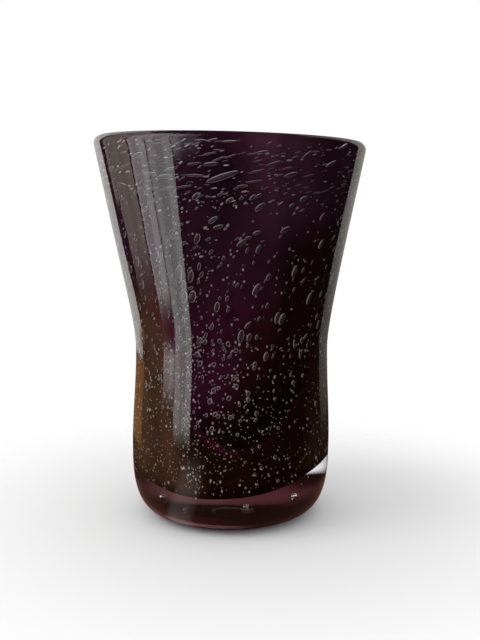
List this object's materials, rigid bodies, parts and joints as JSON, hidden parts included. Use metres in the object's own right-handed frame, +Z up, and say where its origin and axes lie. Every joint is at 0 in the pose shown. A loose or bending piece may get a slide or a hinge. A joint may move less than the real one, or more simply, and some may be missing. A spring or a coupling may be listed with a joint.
{
  "type": "vase",
  "caption": "Free-standing waisted vase with a flared rim, dark amethyst glass under a clear casing full of drawn-out gas bubbles, on a thick base slab",
  "frame": {"origin": "centre of the flat foot, on the surface that the vase stands on", "axes": "+Z up along the vase's own axis; -Y is the front, towards the viewer"},
  "size_m": [0.1558, 0.1558, 0.22],
  "materials": {
    "amethyst_glass": "near-black amethyst glass, fire polished",
    "clear_glass": "near-clear glass with a faint violet tint, fire polished",
    "rose_glass": "dusty rose transparent glass with a ground and polished foot",
    "trapped_gas": "bright, sharp-edged gas bubbles sealed in the glass"
  },
  "bodies": {
    "root": {"amethyst_cup": "amethyst_glass", "clear_casing": "clear_glass", "base_slab": "rose_glass", "bubbles_lip": "trapped_gas", "bubbles_flare": "trapped_gas", "bubbles_waist": "trapped_gas", "bubbles_belly": "trapped_gas", "bubbles_heel": "trapped_gas", "bubbles_slab": "trapped_gas"}
  },
  "joints": []
}
